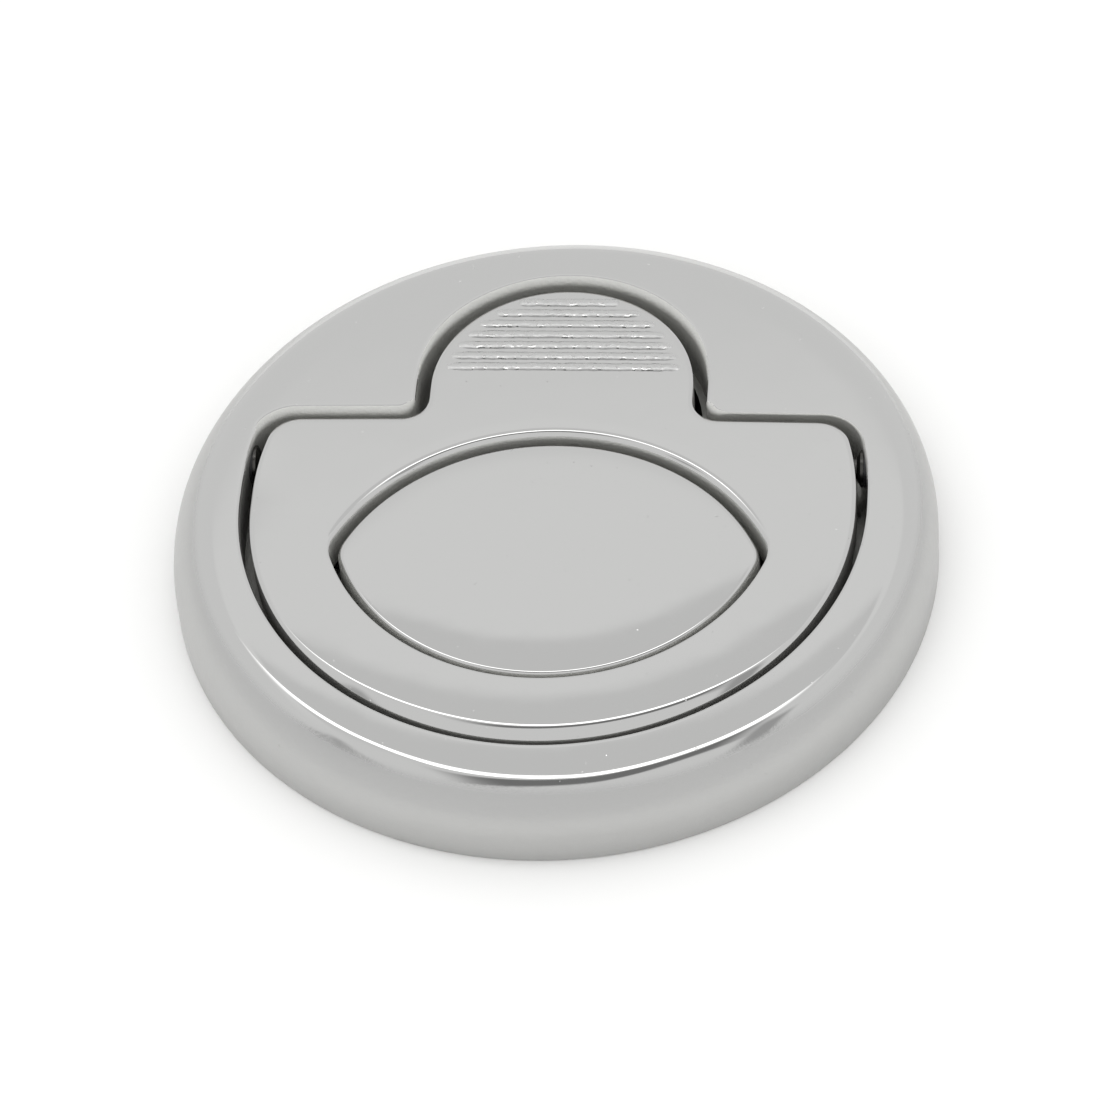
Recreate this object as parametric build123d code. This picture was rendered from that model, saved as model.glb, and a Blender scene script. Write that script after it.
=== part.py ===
from build123d import *
import os
from math import cos, pi, radians, sin, sqrt

# A round flush ring pull for a hatch, floorboard or desk panel. Pressing the ribbed thumb tab into its
# well tips the lift ring up about two stub pins, and a fixed lens-shaped island fills the ring's eye.
# Millimetres. The origin is the centre of the face that sits on the panel. +Z points out of the panel,
# +X runs along the hinge and +Y points towards the thumb tab.

# Overall form
OUTER_R = 32.5            # rim of the bezel
CROWN_Z = 7.65            # top of the crowned face, on the centre line
CROWN_R = 1260.0          # radius of the crown
SKIRT_WALL_Z = 3.4        # the rim is upright up to here
SKIRT_R = 4.21            # rounding from the upright rim to the crowned face
SOFT_EDGE = 0.5           # rounding of the top edges beside the gaps

# Plan of the lift ring
RING_R = 25.45            # bow and flat sides
SHOULDER_Y = 9.4          # shoulders on both sides of the thumb tab
CORNER_R = 3.2
TAB_R = 11.3              # round end of the thumb tab
TAB_Y = 13.3              # centre of that round end
NECK_R = 2.3              # concave corner between shoulder and tab

# Plan of the pocket that the ring lies in
POCKET_BOW_R = 26.5
POCKET_BOW_Y = 0.4
POCKET_SHOULDER_Y = 10.15
POCKET_TAB_R = 12.5
POCKET_NECK_R = 1.4

# Lens-shaped island, between two arcs with rounded tips
LENS_UPPER_R = 19.3
LENS_UPPER_Y = -12.5      # centre of the upper arc
LENS_LOWER_R = 18.65
LENS_LOWER_Y = 0.15       # centre of the lower arc
LENS_TIP_R = 2.5
LENS_GAP = 0.7            # between the island and the ring's eye
ISLAND_DROP = 0.4         # the island's face lies this much under the ring's

# Hinge
AXIS_Y = 6.0
AXIS_Z = 5.2
PIN_R = 0.9
PIN_X = (13.5, 28.7)
PRESS_GAP = 0.01          # drawn between a pin and the hole that it is pressed into
BUSH_BORE_R = 0.93
BUSH_R = 1.3
BUSH_FLANGE_R = 1.6
BUSH_X = (26.1, 26.5, 28.9)      # outside of the flange, its inside, and the bush's far end
WASHER_R = (1.0, 1.6)
WASHER_X = (25.5, 26.06)
WASHER_SHEET = 0.25
BARREL_R = 1.75
BARREL_X = (14.4, 25.2)
SADDLE_X = 30.1
SADDLE_HALF_Y = 2.8
SLOT_GAP = 0.02
SLOT_END_X = 29.0

# Heights
GASKET_T = 0.5
FLOOR_Z = 2.2             # top of the base pan's floor
RING_UNDER_Z = 3.95
TAB_UNDER_Z = 4.4         # the middle of the ring is thinner, to swing clear of the island
THIN_HALF_X = 14.2
CAVITY_Z = 5.2            # ceiling of the hollow under the bezel
CAVITY_R = 29.9
CURB = 1.3                # wall round the pocket
REBATE_R = 30.9
PAN_R = 30.8

# Thumb tab's well, under the floor
WELL_R = 19.4             # about the hinge axis
WELL_WALL = 1.4
WELL_SIDE_GAP = 0.6
WELL_FRONT_Y = 4.35
WELL_NECK_X = 14.1        # half width beside the neck of the ring
WELL_NECK_Y = 12.4
TROUGH_R = 4.15           # about the hinge axis, under the shoulders
TROUGH_X = 25.8
CUTOUT_R = 18.0           # hole in the panel, and in the gasket
CUTOUT_Y = 11.0

# Grip ribs on the thumb tab
RIB_COUNT = 7
RIB_PITCH = 1.28
RIB_FIRST_Y = 15.4
RIB_R = 0.3
RIB_PROUD = 0.2
RIB_FIELD_R = 10.2

# Screws from below and holes for the owner's screws
BASE_SCREW_PCD = 56.0
BOSS_R = 2.1
M2_R = 1.0
M2_HEAD_R = 1.9
M2_END_Z = 4.6
ISLAND_SCREW_AT = (9.0, -8.0)
ISLAND_SCREW_END_Z = 5.0
THREAD_GAP = 0.02
CLEARANCE = 0.15
SOCKET_R = 0.65
SOCKET_DEPTH = 0.8
MOUNT_HOLE_R = 1.7
MOUNT_SINK_R = 3.0
MOUNT_HOLES = ((16.0, -16.0), (21.0, -1.5))
GASKET_HOLE_R = 1.9

# Rubber pads
PAD_R = 2.0
PAD_STEM_R = 0.9
PAD_STEM_Z = 1.2
PAD_TOP_Z = 3.9
PAD_AT = (9.5, -20.5)
STOP_T = 0.8
STOP_HALF_X = 5.0
STOP_Z = (-8.0, -4.0)

FAR = 60.0                # larger than anything here


def crown_z(x, y, drop=0.0):
    """Height of the crowned face."""
    return CROWN_Z - drop - CROWN_R + sqrt(CROWN_R**2 - x * x - y * y)


def upright(face, low, high):
    """Extrude a plan outline between two heights."""
    return extrude(Pos(0, 0, low) * face, high - low)


def drum(radius, low, high, x=0.0, y=0.0):
    """Upright cylinder between two heights."""
    return upright(Pos(x, y) * Circle(radius), low, high)


def slab(x, y, z):
    """Box from three (low, high) pairs."""
    return Pos(x[0], y[0], z[0]) * Box(
        x[1] - x[0], y[1] - y[0], z[1] - z[0], align=(Align.MIN, Align.MIN, Align.MIN)
    )


def bar(radius, low_x, high_x):
    """Cylinder on the hinge axis."""
    turned = Pos(low_x, AXIS_Y, AXIS_Z) * Rot(0, 90, 0)
    return turned * Cylinder(radius, high_x - low_x, align=(Align.CENTER, Align.CENTER, Align.MIN))


def both_sides(shape):
    """The shape and its mirror image across the YZ plane."""
    return shape + mirror(shape, Plane.YZ)


def under_crown(drop=0.0):
    """Everything under the crowned face. The ball's poles and seam are turned away from that face."""
    ball = Pos(0, 0, CROWN_Z - drop - CROWN_R) * Rot(90, 0, 0) * Sphere(CROWN_R)
    return ball & slab((-FAR, FAR), (-FAR, FAR), (-FAR, FAR))


def round_corners(face, x, y, radius):
    """Round the two mirrored corners of an outline at (x, y) and (-x, y)."""
    corners = [v for v in face.vertices() if abs(abs(v.X) - x) < 0.01 and abs(v.Y - y) < 0.01]
    return fillet(corners, radius)


def mushroom(bow_r, bow_y, shoulder_y, tab_r, corner_r, neck_r):
    """Plan outline of a half-round bow, flat sides, shoulders and a round tab."""
    bow = Pos(0, bow_y) * Circle(bow_r) & Pos(0, bow_y - FAR / 2) * Rectangle(2 * FAR, FAR)
    block = Pos(0, (bow_y + shoulder_y) / 2) * Rectangle(2 * bow_r, shoulder_y - bow_y)
    tab = Pos(0, TAB_Y) * Circle(tab_r)
    neck = Pos(0, (shoulder_y + TAB_Y) / 2) * Rectangle(2 * tab_r, TAB_Y - shoulder_y)
    face = bow + block + tab + neck
    face = round_corners(face, bow_r, shoulder_y, corner_r)
    return round_corners(face, tab_r, shoulder_y, neck_r)


def ring_plan():
    return mushroom(RING_R, 0.0, SHOULDER_Y, TAB_R, CORNER_R, NECK_R)


def pocket_plan(grow=0.0):
    """The pocket's outline, or one that lies outside it by grow."""
    return mushroom(
        POCKET_BOW_R + grow,
        POCKET_BOW_Y,
        POCKET_SHOULDER_Y + grow,
        POCKET_TAB_R + grow,
        CORNER_R + grow,
        max(POCKET_NECK_R - grow, 0.3),
    )


def lens_plan(grow=0.0):
    """The island's outline, or one that lies outside it by grow."""
    upper = Pos(0, LENS_UPPER_Y) * Circle(LENS_UPPER_R + grow)
    lower = Pos(0, LENS_LOWER_Y) * Circle(LENS_LOWER_R + grow)
    face = upper & lower
    return fillet(face.vertices(), LENS_TIP_R + grow)


def well_plan(wall=0.0):
    """Outline of the thumb tab's well, or of its outer wall."""
    front = WELL_FRONT_Y - wall
    tab = Pos(0, TAB_Y) * Circle(TAB_R + WELL_SIDE_GAP + wall)
    tab &= Pos(0, front + FAR / 2) * Rectangle(2 * FAR, FAR)
    half = WELL_NECK_X + wall
    back = WELL_NECK_Y + wall
    return tab + Pos(0, (front + back) / 2) * Rectangle(2 * half, back - front)


def on_circle(pcd, count, first_deg):
    """Points evenly spaced on a circle about the origin."""
    angles = [radians(first_deg + 360 * i / count) for i in range(count)]
    return [(pcd / 2 * cos(a), pcd / 2 * sin(a)) for a in angles]


def top_edges(solid, clear_of=0.0):
    """Edges of the crowned face, which is the solid's highest face."""
    return solid.faces().sort_by(Axis.Z)[-1].edges().filter_by(lambda e: e.length > clear_of)


# ---------------------------------------------------------------- bezel

def bezel_blank():
    """Solid of revolution with the upright rim, the rounded skirt and the crowned face."""
    centre_r = OUTER_R - SKIRT_R
    knee_r = centre_r
    while SKIRT_WALL_Z + sqrt(SKIRT_R**2 - (knee_r - centre_r) ** 2) > crown_z(knee_r, 0):
        knee_r += 0.001
    knee = (knee_r, crown_z(knee_r, 0))
    half_way = pi / 8
    middle = (centre_r + SKIRT_R * cos(half_way), SKIRT_WALL_Z + SKIRT_R * sin(half_way))
    outline = [
        Line((0, 0), (OUTER_R, 0)),
        Line((OUTER_R, 0), (OUTER_R, SKIRT_WALL_Z)),
        ThreePointArc((OUTER_R, SKIRT_WALL_Z), middle, knee),
        ThreePointArc(knee, (knee_r / 2, crown_z(knee_r / 2, 0)), (0, CROWN_Z)),
        Line((0, CROWN_Z), (0, 0)),
    ]
    return revolve(Plane.XZ * make_face(outline), Axis.Z)


def bezel():
    """Cast cover: crowned face and skirt, hollow behind, with a curb round the pocket."""
    blank = bezel_blank()
    saddle = slab((POCKET_BOW_R, SADDLE_X), (AXIS_Y - SADDLE_HALF_Y, AXIS_Y + SADDLE_HALF_Y), (0, CAVITY_Z))
    curb = upright(pocket_plan(CURB), 0, CAVITY_Z)
    bosses = [drum(BOSS_R, 0, CAVITY_Z, x, y) for x, y in on_circle(BASE_SCREW_PCD, 4, 45)]
    body = blank - (drum(CAVITY_R, 0, CAVITY_Z) - curb - both_sides(saddle) - bosses)
    body -= drum(REBATE_R, -1, FLOOR_Z)
    body -= upright(pocket_plan(), -1, CROWN_Z + 1)
    body = fillet(top_edges(body).filter_by(lambda e: e.center().Y < FAR and inside_rim(e)), SOFT_EDGE)
    slot_y = BUSH_R + SLOT_GAP
    slot = slab((POCKET_BOW_R - 1, SLOT_END_X), (AXIS_Y - slot_y, AXIS_Y + slot_y), (FLOOR_Z - 1, AXIS_Z))
    slot += bar(slot_y, POCKET_BOW_R - 1, SLOT_END_X)
    slot += bar(BUSH_FLANGE_R + SLOT_GAP, POCKET_BOW_R - 1, POCKET_BOW_R)
    body -= both_sides(slot)
    for x, y in on_circle(BASE_SCREW_PCD, 4, 45):
        body -= drum(M2_R + THREAD_GAP, FLOOR_Z - 1, M2_END_Z + THREAD_GAP, x, y)
    return body


def inside_rim(edge):
    """True for an edge of the pocket, false for the bezel's own knee."""
    far = max(sqrt(p.X**2 + p.Y**2) for p in (edge @ 0, edge @ 0.5, edge @ 1))
    return far < (POCKET_BOW_R + OUTER_R - SKIRT_R) / 2 + 1


# ---------------------------------------------------------------- moving ring

def thumb_ribs():
    """Low half-round ribs across the thumb tab."""
    ribs = []
    for i in range(RIB_COUNT):
        y = RIB_FIRST_Y + i * RIB_PITCH
        half = sqrt(RIB_FIELD_R**2 - (y - TAB_Y) ** 2)
        z = crown_z(0, y) + RIB_PROUD - RIB_R
        ribs.append(Pos(0, y, z) * Rot(0, 90, 0) * Cylinder(RIB_R, 2 * half))
    return ribs


def lift_ring():
    """Ring with the lens-shaped eye, hinge barrels under its shoulders and a ribbed thumb tab."""
    body = upright(ring_plan() - lens_plan(LENS_GAP), RING_UNDER_Z, CROWN_Z + 1) & under_crown()
    body = fillet(top_edges(body), SOFT_EDGE)
    body -= slab((-THIN_HALF_X, THIN_HALF_X), (AXIS_Y - 6, FAR), (0, TAB_UNDER_Z))
    body += both_sides(bar(BARREL_R, *BARREL_X) - slab((0, FAR), (-FAR, FAR), (AXIS_Z, FAR)))
    body -= both_sides(bar(PIN_R + PRESS_GAP, PIN_X[0], FAR))
    for rib in thumb_ribs():
        body += rib
    return body


def hinge_pin():
    """Stub pin, pressed into one shoulder of the ring."""
    pin = bar(PIN_R, *PIN_X)
    return chamfer(pin.edges().filter_by(GeomType.CIRCLE), 0.15)


# ---------------------------------------------------------------- fixed parts in the pocket

def centre_island():
    """Lens that fills the ring's eye. Its back edge overhangs the well, above the hinge axis."""
    body = upright(lens_plan(), FLOOR_Z, CROWN_Z) & under_crown(ISLAND_DROP)
    body = fillet(top_edges(body), SOFT_EDGE / 2)
    body -= slab((-FAR, FAR), (WELL_FRONT_Y - CLEARANCE, FAR), (0, AXIS_Z + 2 * CLEARANCE))
    x, y = ISLAND_SCREW_AT
    hole = drum(M2_R + THREAD_GAP, 0, ISLAND_SCREW_END_Z + THREAD_GAP, x, y)
    return body - both_sides(hole)


def hinge_bush():
    """Flanged plastic bush that one pin turns in."""
    flange, seat, end = BUSH_X
    return bar(BUSH_R, seat, end) + bar(BUSH_FLANGE_R, flange, seat) - bar(BUSH_BORE_R, 0, FAR)


def spring_washer():
    """Coned washer between the ring's side and the bush, which holds the ring where it is left."""
    inner, outer = WASHER_R
    low, high = WASHER_X
    section = make_face(
        Polyline(
            (low, inner),
            (low + WASHER_SHEET, inner),
            (high, outer),
            (high - WASHER_SHEET, outer),
            close=True,
        )
    )
    return Pos(0, AXIS_Y, AXIS_Z) * revolve(section, Axis.X)


def ring_pad():
    """Rubber button that the closed ring rests on."""
    x, y = PAD_AT
    button = drum(PAD_R, FLOOR_Z, PAD_TOP_Z)
    button = fillet(button.edges().group_by(Axis.Z)[-1], 0.4)
    return Pos(x, y) * (button + drum(PAD_STEM_R, PAD_STEM_Z, FLOOR_Z))


def tab_stop_pad():
    """Rubber strip on the well's front wall, where the tab stops when the ring stands upright."""
    return slab((-STOP_HALF_X, STOP_HALF_X), (WELL_FRONT_Y, WELL_FRONT_Y + STOP_T), STOP_Z)


# ---------------------------------------------------------------- base

def base_pan():
    """Floor under the pocket, with the well for the tab, keeper posts under the bushes and screw holes."""
    body = drum(PAN_R, GASKET_T, FLOOR_Z)
    outer_well = upright(well_plan(WELL_WALL), -FAR, FLOOR_Z) & bar(WELL_R + WELL_WALL, -FAR, FAR)
    body += outer_well
    body -= upright(well_plan(), -FAR, FLOOR_Z + 1) & bar(WELL_R, -FAR, FAR)
    body -= both_sides(bar(TROUGH_R, WELL_NECK_X - WELL_WALL, TROUGH_X))
    post_y = BUSH_R - SLOT_GAP
    post_x = (BUSH_X[1] + 0.2, BUSH_X[2] - 0.1)
    post = slab(post_x, (AXIS_Y - post_y, AXIS_Y + post_y), (GASKET_T, AXIS_Z - 0.6))
    body += both_sides(post)
    body -= both_sides(bar(BUSH_R + SLOT_GAP, TROUGH_X, SLOT_END_X + 1))
    for x, y in on_circle(BASE_SCREW_PCD, 4, 45):
        body -= screw_hole(x, y)
    body -= both_sides(screw_hole(*ISLAND_SCREW_AT))
    for x, y in MOUNT_HOLES:
        body -= both_sides(mount_hole(x, y))
    x, y = PAD_AT
    return body - both_sides(drum(PAD_STEM_R, PAD_STEM_Z, FLOOR_Z, x, y))


def screw_hole(x, y):
    """Clearance hole with a countersink from below for an M2 screw."""
    head_r = M2_HEAD_R + THREAD_GAP
    shank_r = M2_R + CLEARANCE
    sink = Pos(x, y, GASKET_T) * Cone(
        head_r, shank_r, head_r - shank_r, align=(Align.CENTER, Align.CENTER, Align.MIN)
    )
    return sink + drum(shank_r, GASKET_T, FLOOR_Z, x, y)


def mount_hole(x, y):
    """Hole with a countersink from above for a screw into the panel."""
    depth = MOUNT_SINK_R - MOUNT_HOLE_R
    sink = Pos(x, y, FLOOR_Z - depth) * Cone(
        MOUNT_HOLE_R, MOUNT_SINK_R, depth, align=(Align.CENTER, Align.CENTER, Align.MIN)
    )
    return sink + drum(MOUNT_HOLE_R, GASKET_T, FLOOR_Z, x, y)


def small_screw(x, y, end_z):
    """Countersunk M2 screw with a hexagon socket, driven upwards."""
    cone_h = M2_HEAD_R - M2_R
    head = Pos(0, 0, GASKET_T) * Cone(
        M2_HEAD_R, M2_R, cone_h, align=(Align.CENTER, Align.CENTER, Align.MIN)
    )
    body = head + drum(M2_R, GASKET_T, end_z)
    body -= upright(RegularPolygon(SOCKET_R, 6), GASKET_T, GASKET_T + SOCKET_DEPTH)
    return Pos(x, y) * body


def panel_gasket():
    """Die-cut rubber sheet that the pull is sealed to the panel with."""
    body = drum(PAN_R, 0, GASKET_T) - drum(CUTOUT_R, 0, GASKET_T, 0, CUTOUT_Y)
    for x, y in MOUNT_HOLES:
        body -= both_sides(drum(GASKET_HOLE_R, 0, GASKET_T, x, y))
    return body


def left_and_right(name, shape):
    """Two mirrored nodes: the left one is on the -X side."""
    return {f"{name}_left": mirror(shape, Plane.YZ), f"{name}_right": shape}


def build():
    """Every piece under its node's name."""
    parts = {
        "bezel": bezel(),
        "base_pan": base_pan(),
        "centre_island": centre_island(),
        "lift_ring": lift_ring(),
        "tab_stop_pad": tab_stop_pad(),
        "panel_gasket": panel_gasket(),
    }
    parts |= left_and_right("hinge_pin", hinge_pin())
    parts |= left_and_right("hinge_bush", hinge_bush())
    parts |= left_and_right("spring_washer", spring_washer())
    parts |= left_and_right("ring_pad", ring_pad())
    for i, (x, y) in enumerate(on_circle(BASE_SCREW_PCD, 4, 45)):
        parts[f"base_screw_{i + 1}"] = small_screw(x, y, M2_END_Z)
    x, y = ISLAND_SCREW_AT
    parts["island_screw_1"] = small_screw(-x, y, ISLAND_SCREW_END_Z)
    parts["island_screw_2"] = small_screw(x, y, ISLAND_SCREW_END_Z)
    return parts


os.makedirs("parts", exist_ok=True)
for name, shape in build().items():
    export_step(shape, f"parts/{name}.step")
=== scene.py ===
"""Looks of a round flush ring pull in polished cast steel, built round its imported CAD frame.

Everything is in metres in the frame's own axes: +Z out of the panel, +X along the hinge, +Y to the thumb tab.
"""

import math

import bmesh
import bpy
import numpy as np
from mathutils import Matrix, Vector, geometry


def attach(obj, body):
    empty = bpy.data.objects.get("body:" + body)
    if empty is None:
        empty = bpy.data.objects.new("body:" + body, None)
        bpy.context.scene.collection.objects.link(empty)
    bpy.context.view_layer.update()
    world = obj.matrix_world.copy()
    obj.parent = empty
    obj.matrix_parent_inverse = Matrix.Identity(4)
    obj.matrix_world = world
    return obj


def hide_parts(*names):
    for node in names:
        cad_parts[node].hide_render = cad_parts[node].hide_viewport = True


bl_info = {
    "name": "Flush Ring Pull",
    "version": (1, 0, 0),
    "blender": (4, 5, 0),
    "location": "View3D > Sidebar > Ring Pull",
    "description": "Builds a round flush ring pull with a ribbed thumb tab round its CAD frame",
    "category": "Object",
}

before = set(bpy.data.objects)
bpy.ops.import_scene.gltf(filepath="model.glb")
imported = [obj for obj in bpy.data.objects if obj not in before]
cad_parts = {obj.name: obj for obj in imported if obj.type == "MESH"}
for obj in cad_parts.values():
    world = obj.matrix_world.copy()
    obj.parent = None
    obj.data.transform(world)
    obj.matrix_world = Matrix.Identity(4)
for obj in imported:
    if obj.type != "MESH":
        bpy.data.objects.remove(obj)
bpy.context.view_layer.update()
MM = 0.001
KNEE_CENTRE = (0.35, 0.19)      # of the knee between skirt and face, in millimetres off the main axis


# ---------------------------------------------------------------- sizes and colours a user would change

def length(name, description, millimetres):
    """A length property with its default in millimetres."""
    return bpy.props.FloatProperty(
        name=name,
        description=description,
        default=millimetres * MM,
        min=0.0,
        precision=5,
        subtype="DISTANCE",
        unit="LENGTH",
    )


def place(name, description, millimetres):
    """A coordinate property, which may be negative, with its default in millimetres."""
    return bpy.props.FloatProperty(
        name=name,
        description=description,
        default=millimetres * MM,
        precision=5,
        subtype="DISTANCE",
        unit="LENGTH",
    )


def linear(hex_code):
    """An sRGB hex colour as linear red, green, blue."""
    channels = [int(hex_code[i : i + 2], 16) / 255 for i in (1, 3, 5)]
    return tuple(c / 12.92 if c <= 0.04045 else ((c + 0.055) / 1.055) ** 2.4 for c in channels)


def colour(name, description, hex_code):
    """A colour property with its default as an sRGB hex value."""
    return bpy.props.FloatVectorProperty(
        name=name, description=description, default=linear(hex_code), size=3, min=0, max=1, subtype="COLOR"
    )


class RingPullSizes(bpy.types.PropertyGroup):
    """Sizes of the visible castings. The defaults fit the CAD frame."""

    outer_r: length("Rim radius", "Radius of the bezel's upright rim", 32.5)
    crown_z: place("Crown height", "Height of the crowned face on the centre line", 7.65)
    crown_r: length("Crown radius", "Radius of the crowned face", 1260)
    knee_r: length("Knee radius", "Radius of the knee between the skirt and the crowned face", 29.39)
    knee_x: place("Knee centre across", "Centre of the knee along the hinge", KNEE_CENTRE[0])
    knee_y: place("Knee centre along", "Centre of the knee towards the tab", KNEE_CENTRE[1])
    rib_pitch: length("Rib pitch", "From one grip rib to the next", 1.28)
    rib_y: place("First rib", "Place of the grip rib nearest the hinge", 15.4)
    rib_field_r: length("Rib field", "Radius of the round field that the ribs fill", 10.8)
    rib_r: length("Rib radius", "Radius of a grip rib's back", 0.85)
    rib_proud: length("Rib height", "How far a grip rib stands out of the tab", 0.15)
    ring_r: length("Ring radius", "Radius of the lift ring's bow", 25.6)
    side_r: length("Side radius", "Radius of the lift ring's sides in plan", 26)
    side_y: place("Side centre", "Where the lift ring is widest", 1.0)
    shoulder_y: place("Shoulder", "Where the ring's shoulders end", 9.4)
    corner_r: length("Shoulder corner", "Rounding of the shoulder's corner in plan", 2.8)
    tab_r: length("Tab radius", "Radius of the thumb tab's round end", 11.3)
    tab_y: place("Tab centre", "Centre of the thumb tab's round end", 13.3)
    neck_r: length("Neck rounding", "Concave corner between shoulder and tab", 2.3)
    pocket_r: length("Pocket radius", "Radius of the pocket's bow", 26.5)
    pocket_y: place("Pocket centre", "Centre of the pocket's bow", 0.4)
    pocket_side_r: length("Pocket side radius", "Radius of the pocket's sides in plan", 28)
    pocket_side_y: place("Pocket side centre", "Where the pocket is widest", 1.5)
    pocket_corner_r: length("Pocket corner", "Rounding of the pocket's corner in plan", 3.4)
    pocket_shoulder_y: place("Pocket shoulder", "Where the pocket's shoulders end", 10.15)
    pocket_tab_r: length("Pocket tab radius", "Radius of the pocket round the thumb tab", 12.5)
    pocket_neck_r: length("Pocket neck", "Corner of the bezel beside the tab's neck", 1.4)
    lens_upper_r: length("Upper arc", "Radius of the island's upper arc", 19.3)
    lens_upper_y: place("Upper arc centre", "Centre of the island's upper arc", -12.5)
    lens_lower_r: length("Lower arc", "Radius of the island's lower arc", 18.65)
    lens_lower_y: place("Lower arc centre", "Centre of the island's lower arc", 0.15)
    lens_tip_r: length("Lens tip", "Rounding of the island's tips in plan", 2.5)
    lens_gap: length("Eye gap", "Gap between the island and the ring's eye", 0.7)
    rib_count: bpy.props.IntProperty(name="Ribs", description="Number of grip ribs", default=7, min=1, max=12)
    island_drop: length("Island drop", "How far the island's face lies under the ring's", 0.4)


class RingPullFinish(bpy.types.PropertyGroup):
    """Colours and finish of the metals, plastics and rubber."""

    steel: colour("Polished steel", "Reflected colour of the polished castings", "#c8c8c7")
    cast: colour("Cast steel", "Colour of the castings where no polishing reached", "#cfcfcc")
    blasted: colour("Blasted steel", "Colour of the base pan", "#9b9b98")
    # painted shade: the pins' colour is dark to stand for the shade they lie in within the hinge gap
    turned: colour("Turned steel", "Colour of the oiled hinge pins", "#5c5b59")
    spring: colour("Spring steel", "Colour of the spring washers", "#4e4d4b")
    screw: colour("Screw steel", "Colour of the screws", "#b4b3af")
    acetal: colour("Acetal", "Colour of the hinge bushes", "#2b2b2d")
    rubber: colour("Rubber", "Colour of the pads and the gasket", "#232324")
    floor: colour("Floor", "Colour of the pale floor", "#fbfbfa")
    polish: bpy.props.FloatProperty(
        name="Polish", description="Roughness of the polished castings", default=0.06, min=0.0, max=1.0
    )
    light: bpy.props.FloatProperty(
        name="Light", description="Brightness of the white tent", default=1.0, min=0.0, max=4.0
    )


# ---------------------------------------------------------------- plan outlines
# An outline is an array of rows (x, y, outward x, outward y), anticlockwise, in metres.

STEP = 0.4 * MM           # spacing of points along an outline


def arc(x, y, radius, start, end, inside_out=False):
    """Points of an arc between two angles in degrees, without its last point."""
    count = max(3, math.ceil(abs(math.radians(end - start)) * radius / STEP))
    a = np.radians(start + (end - start) * np.arange(count) / count)
    c, s = np.cos(a), np.sin(a)
    sign = -1 if inside_out else 1
    return np.column_stack([x + radius * c, y + radius * s, sign * c, sign * s])


def straight(x0, y0, x1, y1):
    """Points of a straight stretch, without its last point."""
    run = math.hypot(x1 - x0, y1 - y0)
    count = max(2, math.ceil(run / STEP))
    t = (np.arange(count) / count)[:, None]
    ones = np.ones_like(t)
    nx, ny = (y1 - y0) / run, (x0 - x1) / run
    return np.hstack([x0 + (x1 - x0) * t, y0 + (y1 - y0) * t, nx * ones, ny * ones])


def mushroom(bow, side, shoulder_y, corner_r, tab, neck_r):
    """Half-round bow, curved sides, shoulders and a round tab, the first three and the tab as (radius, y)."""
    (bow_r, bow_y), (side_r, side_y), (tab_r, tab_y) = bow, side, tab
    side_x, corner_y = bow_r - side_r, shoulder_y - corner_r
    corner_x = side_x + math.sqrt((side_r - corner_r) ** 2 - (corner_y - side_y) ** 2)
    turn = math.degrees(math.atan2(corner_y - side_y, corner_x - side_x))
    neck_x, neck_y = tab_r + neck_r, shoulder_y + neck_r
    return np.vstack(
        [
            straight(bow_r, bow_y, bow_r, side_y),
            arc(side_x, side_y, side_r, 0, turn),
            arc(corner_x, corner_y, corner_r, turn, 90),
            straight(corner_x, shoulder_y, neck_x, shoulder_y),
            arc(neck_x, neck_y, neck_r, 270, 180, inside_out=True),
            straight(tab_r, neck_y, tab_r, tab_y),
            arc(0, tab_y, tab_r, 0, 180),
            straight(-tab_r, tab_y, -tab_r, neck_y),
            arc(-neck_x, neck_y, neck_r, 0, -90, inside_out=True),
            straight(-neck_x, shoulder_y, -corner_x, shoulder_y),
            arc(-corner_x, corner_y, corner_r, 90, 180 - turn),
            arc(-side_x, side_y, side_r, 180 - turn, 180),
            straight(-bow_r, side_y, -bow_r, bow_y),
            arc(0, bow_y, bow_r, 180, 360),
        ]
    )


def lens(upper_r, upper_y, lower_r, lower_y, tip_r):
    """Two arcs with rounded tips."""
    a, b = upper_r - tip_r, lower_r - tip_r
    tip_y = ((a * a - b * b) / (lower_y - upper_y) + upper_y + lower_y) / 2
    tip_x = math.sqrt(a * a - (tip_y - upper_y) ** 2)
    rise = math.degrees(math.atan2(tip_y - upper_y, tip_x))
    fall = math.degrees(math.atan2(lower_y - tip_y, tip_x))
    return np.vstack(
        [
            arc(0, upper_y, upper_r, rise, 180 - rise),
            arc(-tip_x, tip_y, tip_r, 180 - rise, 180 + fall),
            arc(0, lower_y, lower_r, 180 + fall, 360 - fall),
            arc(tip_x, tip_y, tip_r, -fall, rise),
        ]
    )


def ring_outline(s):
    """The lift ring's outline."""
    bow, side, tab = (s.ring_r, 0), (s.side_r, s.side_y), (s.tab_r, s.tab_y)
    return mushroom(bow, side, s.shoulder_y, s.corner_r, tab, s.neck_r)


def pocket_outline(s):
    """The outline of the pocket that the lift ring lies in."""
    bow, side, tab = (s.pocket_r, s.pocket_y), (s.pocket_side_r, s.pocket_side_y), (s.pocket_tab_r, s.tab_y)
    return mushroom(bow, side, s.pocket_shoulder_y, s.pocket_corner_r, tab, s.pocket_neck_r)


def lens_outline(s, grow=0.0):
    """The island's outline, or one that lies outside it by grow."""
    return lens(
        s.lens_upper_r + grow, s.lens_upper_y, s.lens_lower_r + grow, s.lens_lower_y, s.lens_tip_r + grow
    )


def eye_outline(s):
    """The outline of the eye through the lift ring."""
    return lens_outline(s, s.lens_gap)


def moved(outline, offset):
    """Plan points of an outline moved outwards by an offset, one for all points or one for each."""
    return outline[:, :2] + outline[:, 2:] * np.broadcast_to(offset, len(outline))[:, None]


# ---------------------------------------------------------------- shells

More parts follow.
